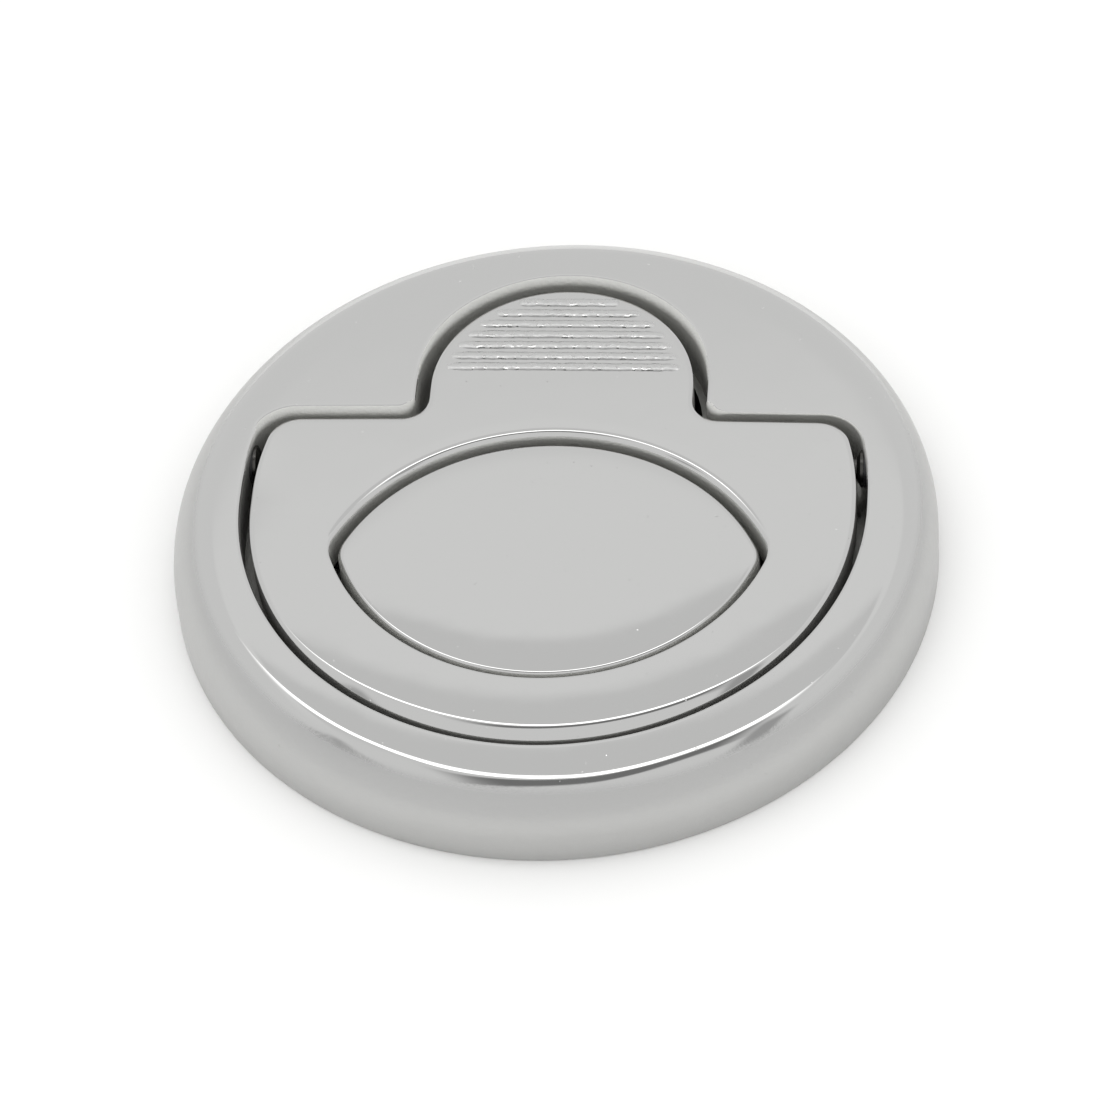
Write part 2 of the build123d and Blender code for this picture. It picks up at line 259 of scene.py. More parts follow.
def quarter_round(steps=8):
    """Unit quarter round from a wall up to a face: distances from the wall and depths under the face."""
    a = np.linspace(0, math.pi / 2, steps + 1)
    return list(zip(1 - np.cos(a), 1 - np.sin(a)))


def rounded_path(corners, radii, steps=6):
    """A path of straight runs whose inner corners are rounded, as a list of (x, y)."""
    points = [np.array(p, float) for p in corners]
    path = [points[0]]
    for before, at, after, radius in zip(points, points[1:], points[2:], radii):
        a = (before - at) / np.linalg.norm(before - at)
        b = (after - at) / np.linalg.norm(after - at)
        half = math.acos(np.clip(a @ b, -1, 1)) / 2
        reach = radius / math.tan(half)
        centre = at + (a + b) / np.linalg.norm(a + b) * radius / math.sin(half)
        start, end = at + a * reach - centre, at + b * reach - centre
        turn = math.atan2(start[0] * end[1] - start[1] * end[0], start @ end)
        for i in range(steps + 1):
            t = turn * i / steps
            spin = np.array([[math.cos(t), -math.sin(t)], [math.sin(t), math.cos(t)]])
            path.append(centre + spin @ start)
    return [*path, points[-1]]


def inside(points, loop):
    """For each plan point, whether it lies inside a closed loop."""
    x, y = points[:, 0][:, None], points[:, 1][:, None]
    x0, y0 = loop[:, 0], loop[:, 1]
    x1, y1 = np.roll(x0, -1), np.roll(y0, -1)
    straddles = (y0 > y) != (y1 > y)
    with np.errstate(divide="ignore", invalid="ignore"):
        crossing = x < (x1 - x0) * (y - y0) / (y1 - y0) + x0
    return (straddles & crossing).sum(1) % 2 == 1


class Shell:
    """Collects the points and faces of one closed piece."""

    def __init__(self):
        self.points = []
        self.faces = []

    def loop(self, plan, height):
        """Add a closed loop at one height, or one for each point, and return its first index and count."""
        first = len(self.points)
        heights = np.broadcast_to(height, len(plan))
        self.points += [(x, y, z) for (x, y), z in zip(plan, heights)]
        return first, len(plan)

    def bridge(self, low, high):
        """Quads between two loops of equal count."""
        (a, count), (b, _) = low, high
        for i in range(count):
            j = (i + 1) % count
            self.faces.append((a + i, a + j, b + j, b + i))

    def loops(self, rows):
        """Add (plan, height) loops in order with quads between them, and return the first and the last."""
        made = [self.loop(plan, height) for plan, height in rows]
        for low, high in zip(made, made[1:]):
            self.bridge(low, high)
        return made[0], made[-1]

    def fill(self, outer, holes, height, spacing):
        """Triangles over the region inside a loop and outside the holes, with points spaced through it."""
        rims = [np.array(self.points[a : a + n])[:, :2] for a, n in (outer, *holes)]
        indices = [i for a, n in (outer, *holes) for i in range(a, a + n)]
        plan = [Vector(p) for rim in rims for p in rim]
        edges, first = [], 0
        for rim in rims:
            edges += [(first + i, first + (i + 1) % len(rim)) for i in range(len(rim))]
            first += len(rim)
        extra = self.spread(rims, spacing) if spacing else np.zeros((0, 2))
        plan += [Vector(p) for p in extra]
        found = geometry.delaunay_2d_cdt(plan, edges, [], 0, 1e-7, True)
        flat, triangles, sources = found[0], found[2], found[3]
        made = {}
        for i, source in enumerate(sources):
            if source and source[0] < len(indices):
                made[i] = indices[source[0]]
            else:
                x, y = flat[i]
                made[i] = len(self.points)
                self.points.append((x, y, float(height(np.array([[x, y]]))[0])))
        flat = np.array([tuple(p) for p in flat])
        centres = np.array([flat[list(t)].mean(0) for t in triangles])
        kept = inside(centres, rims[0])
        for rim in rims[1:]:
            kept &= ~inside(centres, rim)
        self.faces += [tuple(made[i] for i in t) for t, keep in zip(triangles, kept) if keep]

    @staticmethod
    def spread(rims, spacing):
        """Staggered plan points inside the first rim, outside the others, and clear of them all."""
        low, high = rims[0].min(0), rims[0].max(0)
        rows = np.arange(low[1], high[1], spacing * math.sqrt(3) / 2)
        starts = [low[0] + (i % 2) * spacing / 2 for i in range(len(rows))]
        lines = [np.arange(start, high[0], spacing) for start in starts]
        points = np.vstack([np.column_stack([xs, np.full(len(xs), y)]) for xs, y in zip(lines, rows)])
        kept = inside(points, rims[0])
        for rim in rims[1:]:
            kept &= ~inside(points, rim)
        points = points[kept]
        rim_points = np.vstack(rims)
        near = np.array([((rim_points - p) ** 2).sum(1).min() for p in points])
        return points[near > (0.7 * spacing) ** 2]

    def object(self, name):
        """The finished mesh as an object, with its normals outwards."""
        mesh = bpy.data.meshes.new(name)
        mesh.from_pydata(self.points, [], self.faces)
        grown = bmesh.new()
        grown.from_mesh(mesh)
        bmesh.ops.remove_doubles(grown, verts=grown.verts, dist=1e-7)
        bmesh.ops.recalc_face_normals(grown, faces=grown.faces)
        grown.to_mesh(mesh)
        grown.free()
        made = bpy.data.objects.new(name, mesh)
        bpy.context.scene.collection.objects.link(made)
        return made


def cut(target, cutters, operation="DIFFERENCE"):
    """Apply exact booleans to the target's mesh, and remove the cutters."""
    for cutter in cutters:
        modifier = target.modifiers.new("cut", "BOOLEAN")
        modifier.operation = operation
        modifier.solver = "EXACT"
        modifier.object = cutter
    bake(target)
    for cutter in cutters:
        bpy.data.objects.remove(cutter)


def bake(target):
    """Turn the evaluated object into its plain mesh."""
    evaluated = target.evaluated_get(bpy.context.evaluated_depsgraph_get())
    mesh = bpy.data.meshes.new_from_object(evaluated)
    target.modifiers.clear()
    target.data = mesh


def smooth(target, degrees):
    """Smooth shading with sharp edges above an angle."""
    target.data.shade_smooth()
    target.data.set_sharp_from_angle(angle=math.radians(degrees))


def circle(count):
    """Points of a unit circle."""
    a = 2 * math.pi * np.arange(count) / count
    return np.column_stack([np.cos(a), np.sin(a)])


def drum(radius, low, high, x=0.0, y=0.0, count=64):
    """Upright cylinder, as a cutter."""
    shell = Shell()
    plan = radius * circle(count) + np.array([x, y])
    bottom, top = shell.loops([(plan, low), (plan, high)])
    shell.faces += [tuple(range(f, f + count)) for f in (bottom[0], top[0])]
    return shell.object("cutter")


def bar(radius, low_x, high_x, count=64, round_end=0.0):
    """Cylinder along the hinge's axis, with rounded ends where asked."""
    shell = Shell()
    around = circle(count)
    ends = [(round_end * a, round_end * b) for a, b in quarter_round(4)] if round_end else [(0.0, 0.0)]
    stations = [(low_x + back, radius - inward) for inward, back in reversed(ends)]
    stations += [(high_x - back, radius - inward) for inward, back in ends]
    loops = []
    for x, r in stations:
        loops.append((len(shell.points), count))
        shell.points += [(x, HINGE_AXIS[0] + r * c, HINGE_AXIS[1] + r * d) for c, d in around]
    for low, high in zip(loops, loops[1:]):
        shell.bridge(low, high)
    shell.faces += [tuple(range(f, f + count)) for f in (loops[0][0], loops[-1][0])]
    return shell.object("cutter")


def block(low, high):
    """Box between two corners, as a cutter."""
    shell = Shell()
    plan = np.array([(low[0], low[1]), (high[0], low[1]), (high[0], high[1]), (low[0], high[1])])
    bottom, top = shell.loops([(plan, low[2]), (plan, high[2])])
    shell.faces += [tuple(range(f, f + 4)) for f in (bottom[0], top[0])]
    return shell.object("cutter")


def beside(side, near, far):
    """The lower and upper x of a stretch that lies between two distances, in millimetres, on one side."""
    return sorted((side * near * MM, side * far * MM))


def flat(height):
    """The height of a flat face over plan points."""
    return lambda plan: np.full(len(plan), height)


# ---------------------------------------------------------------- faces of the castings

FACE_BANDS = (0.15, 0.35, 0.6, 0.9, 1.25, 1.6)      # rows of points inside an edge, in millimetres
KNEE_BANDS = (1.05, 0.8, 0.55)                      # rows of points inside the knee, in millimetres
KNEE_ROLL = 0.1 * MM                                # how far the face has rolled off at the knee
FACE_SPACING = 0.45 * MM                            # between the points over the rest of a face


def crown(s, plan, drop=0.0):
    """Height of the crowned face over plan points."""
    return s.crown_z - drop - (plan[:, 0] ** 2 + plan[:, 1] ** 2) / (2 * s.crown_r)


def roll_off(distance, depth, reach):
    """How far hand polishing has rolled a face off near an edge, for a distance from that edge."""
    t = np.clip(1 - distance / reach, 0, None)
    return depth * t**3


def smoothstep(value, low, high):
    """None below one value, one above another, and smooth between them."""
    t = np.clip((value - low) / (high - low), 0, 1)
    return t * t * (3 - 2 * t)


def bow_share(outline):
    """One where an outline faces the front, fading to none where it faces sideways and behind the bow."""
    return np.where(outline[:, 1] <= 0, smoothstep(-outline[:, 3], 0.5, 1.05), 0)


def ring_face(s, plan):
    """Height of the ring's face: crowned, and rolled off towards its bow, its sides and its eye."""
    x, y = plan[:, 0], plan[:, 1]
    edge = np.where(y < 0, s.ring_r - np.hypot(x, y), s.ring_r - np.abs(x))
    upper = np.hypot(x, y - s.lens_upper_y) - s.lens_upper_r
    lower = np.hypot(x, y - s.lens_lower_y) - s.lens_lower_r
    eye = np.maximum(upper, lower) - s.lens_gap
    front = 1 - smoothstep(y, 0, 8 * MM)
    back = smoothstep(y, -8 * MM, -1 * MM)
    rolled = front * roll_off(edge, 0.2 * MM, 6 * MM)
    return crown(s, plan) - rolled - (0.02 * MM + 0.07 * MM * back) * roll_off(eye, 1.0, 1.9 * MM)


def island_face(s, plan):
    """Height of the island's face: crowned and rolled off towards both arcs."""
    lower = s.lens_lower_r - np.hypot(plan[:, 0], plan[:, 1] - s.lens_lower_y)
    upper = s.lens_upper_r - np.hypot(plan[:, 0], plan[:, 1] - s.lens_upper_y)
    rolled = roll_off(lower, 0.19 * MM, 6.6 * MM) + roll_off(upper, 0.05 * MM, 3 * MM)
    return crown(s, plan, s.island_drop) - rolled


def knee_radius(s, turn):
    """Radius of the knee about the main axis, in a direction of the plan."""
    return s.knee_r + s.knee_x * np.cos(turn) + s.knee_y * np.sin(turn)


def bezel_face(s, plan):
    """Height of the bezel's face: crowned, and rolled off towards the knee."""
    turn = np.arctan2(plan[:, 1], plan[:, 0])
    distance = knee_radius(s, turn) - np.hypot(plan[:, 0], plan[:, 1])
    return crown(s, plan) - roll_off(distance, KNEE_ROLL, 3 * MM)


def knee_tilt(turn):
    """Tilt of the skirt at the knee, which is crisper either side of the front than right there."""
    off_front = np.abs(np.degrees(np.angle(np.exp(1j * (turn + math.pi / 2)))))
    crisp = smoothstep(off_front, 8, 28) * (1 - smoothstep(off_front, 60, 100))
    return np.radians(16 + 7 * crisp)


# ---------------------------------------------------------------- pieces

HINGE_AXIS = (6 * MM, 5.2 * MM)      # y and z of the hinge
PAN_TOP = 2.2 * MM                   # where the bezel and the island sit on the base pan
CEILING = 5.2 * MM                   # top of the hollow behind the bezel's face
BELOW, ABOVE = PAN_TOP - 2 * MM, CEILING + 1 * MM      # reach of what is left standing in the hollow
HOLES_LOW = PAN_TOP - 1 * MM         # where holes up into the bezel start, clear of its underside
SCREW_CIRCLE = 28 * MM               # radius of the circle that the base screws stand on
SCREW_BORE = 1.02 * MM               # radius of a screw's hole


def edge_rows(outline, face, profile, size, bands, way, inset=0.0):
    """Rows from a wall's top over its rounded edge and on over the face, outwards (way 1) or inwards (-1).

    The profile holds distances from the wall and depths under the face, both in units of the size.
    """
    rows = []
    for away, depth in profile:
        plan = moved(outline, way * (away * size + inset))
        rows.append((plan, face(plan) - depth * size))
    for further in bands:
        plan = moved(outline, way * (profile[-1][0] * size + inset + further * MM))
        rows.append((plan, face(plan)))
    return rows


def screw_places():
    """Plan centres of the four base screws."""
    turns = [math.radians(45 + 90 * quarter) for quarter in range(4)]
    return [(SCREW_CIRCLE * math.cos(a), SCREW_CIRCLE * math.sin(a)) for a in turns]


def build_bezel(s):
    """Cast cover: crowned face, knee, skirt and rim, hollow behind, with a curb round the pocket."""

    def face(plan):
        return bezel_face(s, plan)

    outline = pocket_outline(s)
    right = smoothstep(outline[:, 0], 12 * MM, 15 * MM)
    back = smoothstep(outline[:, 3], 0.0, 0.7)
    worn = 0.45 - 0.6 * right      # polishing wore the back edge, but left the right shoulder's crisp
    rounding = (0.3 + worn * back) * MM
    edge = edge_rows(outline, face, quarter_round(), rounding, FACE_BANDS[:2], 1)
    wall = [(moved(outline, 0), z) for z in (PAN_TOP, PAN_TOP + 1.5 * MM)]
    shell = Shell()
    inner_low, inner_high = shell.loops([*wall, *edge])
    outer_top, outer_low = shell.loops(skirt_rows(s))
    shell.fill(outer_top, [inner_high], face, FACE_SPACING)
    shell.fill(outer_low, [inner_low], flat(PAN_TOP), 0)
    bezel = shell.object("bezel_casting")
    hollow_bezel(s, bezel)
    smooth(bezel, 32)
    return bezel


def skirt_rows(s):
    """Loops from the crowned face over the knee, down the skirt and rim, and into the pan's rebate."""
    around = circle(480)
    turn = np.arctan2(around[:, 1], around[:, 0])
    knee = knee_radius(s, turn)
    knee_z = crown(s, around * knee[:, None]) - KNEE_ROLL
    tilt = knee_tilt(turn)
    radius = (s.outer_r - knee) / (1 - np.sin(tilt))

    def on_skirt(angle):
        r = knee + radius * (np.sin(angle) - np.sin(tilt))
        return r, knee_z - radius * (np.cos(tilt) - np.cos(angle))

    soft = 0.35 * MM         # reach of the knee's rounding, either side of it
    foot = 0.25 * MM         # rounding of the rim's foot
    rebate_r = 30.9 * MM
    before = knee - soft
    before_z = bezel_face(s, around * before[:, None])
    leave = tilt + soft / radius
    after, after_z = on_skirt(leave)
    rows = [(r, bezel_face(s, around * r[:, None])) for r in (knee - back * MM for back in KNEE_BANDS)]
    for t in np.linspace(0, 1, 9):
        a, b, c = (1 - t) ** 2, 2 * t * (1 - t), t * t
        rows.append((a * before + b * knee + c * after, a * before_z + b * knee_z + c * after_z))
    rows += [on_skirt(leave + (math.pi / 2 - leave) * t) for t in np.linspace(0, 1, 40)[1:]]
    rows += [(s.outer_r - foot * away, foot * depth) for away, depth in quarter_round(4)]
    rows += [(rebate_r, 0.0), (rebate_r, PAN_TOP)]
    return [(around * np.broadcast_to(r, len(around))[:, None], z) for r, z in rows]


def hollow_bezel(s, bezel):
    """Cut the hollow, less the curb, screw bosses and hinge saddles, and the slots and holes."""
    curb, boss_r, saddle, slot_r, flange_r = (k * MM for k in (1.3, 2.1, 2.8, 1.32, 1.63))
    hollow = drum(29.9 * MM, HOLES_LOW, CEILING, count=180)
    curb_plan = moved(pocket_outline(s)[::2], curb)
    curb_shell = Shell()
    low, high = curb_shell.loops([(curb_plan, BELOW), (curb_plan, ABOVE)])
    curb_shell.fill(low, [], flat(BELOW), 0)
    curb_shell.fill(high, [], flat(ABOVE), 0)
    kept = [curb_shell.object("cutter")]
    kept += [drum(boss_r, BELOW, ABOVE, x, y, 32) for x, y in screw_places()]
    slots = []
    hinge_y, hinge_z = HINGE_AXIS
    for side in (-1, 1):
        x = beside(side, 26.5, 30.1)
        kept.append(block((x[0], hinge_y - saddle, BELOW), (x[1], hinge_y + saddle, ABOVE)))
        x = beside(side, 25.5, 29.0)
        slots.append(bar(slot_r, *x))
        slots.append(bar(flange_r, *beside(side, 25.5, 26.53)))
        slots.append(block((x[0], hinge_y - slot_r, HOLES_LOW), (x[1], hinge_y + slot_r, hinge_z)))
    cut(hollow, kept)
    slots += [drum(SCREW_BORE, HOLES_LOW, 4.62 * MM, x, y, 32) for x, y in screw_places()]
    cut(bezel, [hollow, *slots])


def build_lift_ring(s):
    """Lift ring with bevelled bow, rounded eye, hinge barrels and the thinner middle."""
    under_z, wall_z, soft = 3.95 * MM, 5.5 * MM, 0.25 * MM
    shell = Shell()

    def face(plan):
        return ring_face(s, plan)

    def sides(outline, way, inset, rows):
        """The loops of one wall of the ring, from its softened foot up to the rows of its edge and face."""
        foot = [
            (moved(outline, way * (away * soft + inset)), under_z + depth * soft)
            for away, depth in quarter_round(3)
        ]
        return shell.loops([*reversed(foot), (moved(outline, way * inset), wall_z), *rows])

    outline = ring_outline(s)
    bow = bow_share(outline)
    inset = 0.3 * MM * bow
    corners = [(0.0, 1.2 * MM), (0.0, 0.62 * MM), (1.15 * MM, 0.0), (2.4 * MM, 0.0)]
    bevel = rounded_path(corners, [0.28 * MM, 1.3 * MM])
    rows = edge_rows(outline, face, bevel, 0.26 + 0.74 * bow, FACE_BANDS, -1, inset)
    outer_low, outer_high = sides(outline, -1, inset, rows)
    eye = eye_outline(s)
    rounding = (0.16 + 0.49 * smoothstep(eye[:, 3], -0.1, 0.75)) * MM
    rows = edge_rows(eye, face, quarter_round(), rounding, FACE_BANDS, 1)
    eye_low, eye_high = sides(eye, 1, 0.0, rows)
    shell.fill(outer_high, [eye_high], face, FACE_SPACING)
    shell.fill(outer_low, [eye_low], flat(under_z), 0)
    ring = shell.object("lift_ring_casting")

    barrel_r, barrel_end, bore_r = 1.75 * MM, 0.4 * MM, 0.91 * MM
    barrels = [bar(barrel_r, *beside(side, 14.4, 24.6), round_end=barrel_end) for side in (-1, 1)]
    cut(ring, barrels, "UNION")
    middle = block((-14.2 * MM, 0, 0), (14.2 * MM, 30 * MM, 4.4 * MM))
    cut(ring, [middle, *(bar(bore_r, *beside(side, 13.5, 26), 32) for side in (-1, 1))])
    smooth(ring, 30)
    return ring


def build_island(s):
    """Fixed lens that fills the ring's eye, undercut behind where the ring's neck swings past."""

    def face(plan):
        return island_face(s, plan)

    outline = lens_outline(s)
    wall = [(moved(outline, 0), z) for z in (PAN_TOP, 5.0 * MM)]
    shell = Shell()
    low, high = shell.loops([*wall, *edge_rows(outline, face, quarter_round(6), 0.4 * MM, FACE_BANDS, -1)])
    shell.fill(high, [], face, FACE_SPACING)
    shell.fill(low, [], flat(PAN_TOP), 0)
    island = shell.object("centre_island_casting")
    undercut = block((-30 * MM, 4.2 * MM, 0), (30 * MM, 30 * MM, 5.5 * MM))
    holes = [drum(SCREW_BORE, 0, 5.02 * MM, x, -8 * MM, 32) for x in (-9 * MM, 9 * MM)]
    cut(island, [undercut, *holes])
    smooth(island, 32)
    return island


def rib_tree():
    """Node tree that lays rows of tapered, slightly lumpy ribs over the tab's crowned round field."""
    tree = bpy.data.node_groups.new("grip_ribs", "GeometryNodeTree")
    tree.interface.new_socket("Geometry", in_out="OUTPUT", socket_type="NodeSocketGeometry")
    kinds = {"Ribs": "Int", "Material": "Material"}
    lengths = ("Pitch", "First", "Field", "Field Y", "Radius", "Proud", "Crown Z", "Crown R")
    for name in ("Ribs", *lengths, "Material"):
        kind = f"NodeSocket{kinds.get(name, 'Float')}"
        tree.interface.new_socket(name, in_out="INPUT", socket_type=kind)
    given = add(tree, "NodeGroupInput").outputs

    start = add(tree, "ShaderNodeCombineXYZ", {"Y": given["First"]})
    step = add(tree, "ShaderNodeCombineXYZ", {"Y": given["Pitch"]})
    spaced = {"Count": given["Ribs"], "Start Location": start, "Offset": step}
    rows = add(tree, "GeometryNodeMeshLine", spaced, mode="OFFSET")

    line = add(tree, "GeometryNodeCurvePrimitiveLine", {"Start": (-1, 0, 0), "End": (1, 0, 0)})
    line = add(tree, "GeometryNodeResampleCurve", {"Curve": line, "Count": 140})
    along = add(tree, "GeometryNodeSplineParameter")
    from_middle = add(tree, "ShaderNodeMath", [along, 2.0, -1.0], operation="MULTIPLY_ADD")
    taper = add(tree, "ShaderNodeMath", [from_middle, 24.0], operation="POWER")
    taper = add(tree, "ShaderNodeMath", [1.0, taper], operation="SUBTRACT")
    taper = add(tree, "ShaderNodeMath", [taper, 0.02], operation="MAXIMUM")
    taper = add(tree, "ShaderNodeMath", [taper, 0.5], operation="POWER")
    section = add(tree, "GeometryNodeCurvePrimitiveCircle", {"Resolution": 20, "Radius": given["Radius"]})
    swept = {"Curve": line, "Profile Curve": section, "Scale": taper, "Fill Caps": True}
    rib = add(tree, "GeometryNodeCurveToMesh", swept)

    row_y = add(tree, "ShaderNodeSeparateXYZ", [add(tree, "GeometryNodeInputPosition")]).outputs["Y"]
    off_centre = add(tree, "ShaderNodeMath", [row_y, given["Field Y"]], operation="SUBTRACT")
    off_centre = add(tree, "ShaderNodeMath", [off_centre, 2.0], operation="POWER")
    field = add(tree, "ShaderNodeMath", [given["Field"], 2.0], operation="POWER")
    half = add(tree, "ShaderNodeMath", [field, off_centre], operation="SUBTRACT")
    half = add(tree, "ShaderNodeMath", [half, 0.5], operation="POWER")
    size = add(tree, "ShaderNodeCombineXYZ", {"X": half, "Y": 1.0, "Z": 1.0})
    ribs = add(tree, "GeometryNodeInstanceOnPoints", {"Points": rows, "Instance": rib, "Scale": size})
    ribs = add(tree, "GeometryNodeRealizeInstances", [ribs])

    at = add(tree, "GeometryNodeInputPosition")
    in_plan = add(tree, "ShaderNodeVectorMath", [at, (1, 1, 0)], operation="MULTIPLY")
    squared = add(tree, "ShaderNodeVectorMath", [in_plan, in_plan], operation="DOT_PRODUCT")
    doubled = add(tree, "ShaderNodeMath", [given["Crown R"], 2.0], operation="MULTIPLY")
    crown_drop = add(tree, "ShaderNodeMath", [squared, doubled], operation="DIVIDE")
    sunk = add(tree, "ShaderNodeMath", [given["Radius"], given["Proud"]], operation="SUBTRACT")
    rise = add(tree, "ShaderNodeMath", [given["Crown Z"], sunk], operation="SUBTRACT")
    rise = add(tree, "ShaderNodeMath", [rise, crown_drop], operation="SUBTRACT")
    lift = add(tree, "ShaderNodeCombineXYZ", {"Z": rise})
    lumps = add(tree, "ShaderNodeTexNoise", {"Vector": at, "Scale": 1 / (0.9 * MM), "Detail": 2.0})
    lump = add(tree, "ShaderNodeVectorMath", [lumps.outputs["Color"], (0.5,) * 3], operation="SUBTRACT")
    depth = (0, 0.14 * MM, 0.1 * MM)
    offset = add(tree, "ShaderNodeVectorMath", [lump, depth, lift], operation="MULTIPLY_ADD")
    ribs = add(tree, "GeometryNodeSetPosition", {"Geometry": ribs, "Offset": offset})
    ribs = add(tree, "GeometryNodeSetShadeSmooth", [ribs])
    ribs = add(tree, "GeometryNodeSetMaterial", {"Geometry": ribs, "Material": given["Material"]})
    add(tree, "NodeGroupOutput", {"Geometry": ribs})
    return tree


def build_grip_ribs(s, material):
    """Cast grip ribs across the thumb tab, made by a node tree and baked to one mesh."""
    ribs = bpy.data.objects.new("grip_ribs", bpy.data.meshes.new("grip_ribs"))
    bpy.context.scene.collection.objects.link(ribs)
    modifier = ribs.modifiers.new("ribs", "NODES")
    modifier.node_group = rib_tree()
    values = {
        "Ribs": s.rib_count,
        "Pitch": s.rib_pitch,
        "First": s.rib_y,
        "Field": s.rib_field_r,
        "Field Y": s.tab_y,
        "Radius": s.rib_r,
        "Proud": s.rib_proud,
        "Crown Z": s.crown_z,
        "Crown R": s.crown_r,
        "Material": material,
    }
    for item in modifier.node_group.interface.items_tree:
        if item.name in values:
            modifier[item.identifier] = values[item.name]
    bake(ribs)
    return ribs


# ---------------------------------------------------------------- materials

SMOOTH = {"interpolation_type": "SMOOTHSTEP"}      # of a Map Range node


def add(tree, kind, inputs=(), **settings):
    """Add one node with its settings and its inputs, in order or by name.

    An input is a value, or a socket or node to link from, where a node stands for its first output in use.
    """
    made = tree.nodes.new(kind)
    for name, value in settings.items():
        setattr(made, name, value)
    for socket, value in inputs.items() if isinstance(inputs, dict) else enumerate(inputs):
        if isinstance(value, bpy.types.Node):
            value = next(output for output in value.outputs if output.enabled)
        if isinstance(value, bpy.types.NodeSocket):
            tree.links.new(value, made.inputs[socket])
        else:
            made.inputs[socket].default_value = value
    return made


def new_material(name):
    """An empty material and its tree."""
    material = bpy.data.materials.new(name)
    material.use_nodes = True
    material.node_tree.nodes.clear()
    return material, material.node_tree


def shade(tree, inputs):
    """Finish a material with a Principled shader that has these inputs."""
    add(tree, "ShaderNodeOutputMaterial", [add(tree, "ShaderNodeBsdfPrincipled", inputs)])


def rgba(paint, share=1.0):
    """A colour for a socket, dimmed to a share of itself."""
    return (*(channel * share for channel in paint), 1)


def noise(tree, size, detail=2.0, stretch=(1, 1, 1)):
    """Noise with features of a given size in metres, fixed to the object, stretched along its axes."""
    place_on = add(tree, "ShaderNodeTexCoord").outputs["Object"]
    per_feature = tuple(1 / (size * k) for k in stretch)
    squeezed = add(tree, "ShaderNodeVectorMath", [place_on, per_feature], operation="MULTIPLY")
    return add(tree, "ShaderNodeTexNoise", {"Vector": squeezed, "Scale": 1, "Detail": detail})


def grain(tree, depth, size, detail=2.0, stretch=(1, 1, 1)):
    """Bumps of a depth and a size in metres, as a normal."""
    pattern = noise(tree, size, detail, stretch)
    return add(tree, "ShaderNodeBump", {"Strength": 1.0, "Distance": depth, "Height": pattern})


def uneven(tree, pattern, low, high):
    """A roughness that runs with a noise pattern from one value to another."""
    return add(tree, "ShaderNodeMapRange", [pattern, 0.3, 0.7, low, high], **SMOOTH)


def plan_radius(tree, x, y):
    """Distance from an upright line, fixed to the object."""
    place_on = add(tree, "ShaderNodeTexCoord").outputs["Object"]
    in_plan = add(tree, "ShaderNodeVectorMath", [place_on, (1, 1, 0)], operation="MULTIPLY")
    in_plan = add(tree, "ShaderNodeVectorMath", [in_plan, (x, y, 0)], operation="SUBTRACT")
    return add(tree, "ShaderNodeVectorMath", [in_plan], operation="LENGTH")


def polished_steel(finish):
    """Polished cast stainless steel: nearly a mirror, wavy from polishing, grained on the skirt, pitted."""
    material, tree = new_material("polished_cast_stainless")
    radius = plan_radius(tree, KNEE_CENTRE[0] * MM, KNEE_CENTRE[1] * MM)
    skirt = add(tree, "ShaderNodeMapRange", [radius, 30.25 * MM, 31.1 * MM, 0, 1], **SMOOTH)
    waves = grain(tree, 0.016 * MM, 6 * MM, 1.0)
    sanded = add(tree, "ShaderNodeMath", [noise(tree, 0.35 * MM, 3.0), skirt], operation="MULTIPLY")
    raised = {"Strength": 1.0, "Distance": 0.03 * MM, "Height": sanded, "Normal": waves}
    sanded = add(tree, "ShaderNodeBump", raised)
    pits = add(tree, "ShaderNodeMapRange", [noise(tree, 0.5 * MM, 1.0), 0.77, 0.83, 0, -1], **SMOOTH)
    sunk = {"Strength": 1.0, "Distance": 0.03 * MM, "Height": pits, "Normal": sanded}
    pitted = add(tree, "ShaderNodeBump", sunk)
    swirled = [noise(tree, 1.6 * MM, 4.0), 0.35, 0.7, finish.polish * 0.8, finish.polish * 1.3]
    rough = add(tree, "ShaderNodeMapRange", swirled, **SMOOTH)
    rough = add(tree, "ShaderNodeMath", [skirt, 0.3, rough], operation="MULTIPLY_ADD")
    tones = {"Factor": skirt, "A": rgba(finish.steel), "B": rgba(finish.steel, 0.88)}
    tone = add(tree, "ShaderNodeMix", tones, data_type="RGBA")
    shade(tree, {"Base Color": tone, "Metallic": 1.0, "Roughness": rough, "Normal": pitted})
    return material


def cast_steel(finish):
    """Stainless steel as cast, where no polishing reached: matt and grainy, with painted shade darkening it
    in the side gaps.
    """
    material, tree = new_material("as_cast_stainless_gap_shade")
    grained = grain(tree, 0.05 * MM, 0.3 * MM)
    place_on = add(tree, "ShaderNodeTexCoord").outputs["Object"]
    along = add(tree, "ShaderNodeSeparateXYZ", [place_on]).outputs["Y"]
    outer = add(tree, "ShaderNodeMapRange", [plan_radius(tree, 0, 0), 22 * MM, 24.5 * MM, 0, 1], **SMOOTH)
    ahead = add(tree, "ShaderNodeMapRange", [along, 6 * MM, 9 * MM, 1, 0], **SMOOTH)
    # painted shade: the walls in the side gaps ahead of the hinge are dimmed to stand for the shade there
    painted_gap_shade = add(tree, "ShaderNodeMath", [outer, ahead], operation="MULTIPLY")
    tones = {"Factor": painted_gap_shade, "A": rgba(finish.cast), "B": rgba(finish.cast, 0.65)}
    tone = add(tree, "ShaderNodeMix", tones, data_type="RGBA")
    shade(tree, {"Base Color": tone, "Metallic": 0.85, "Roughness": 0.6, "Normal": grained})
    return material


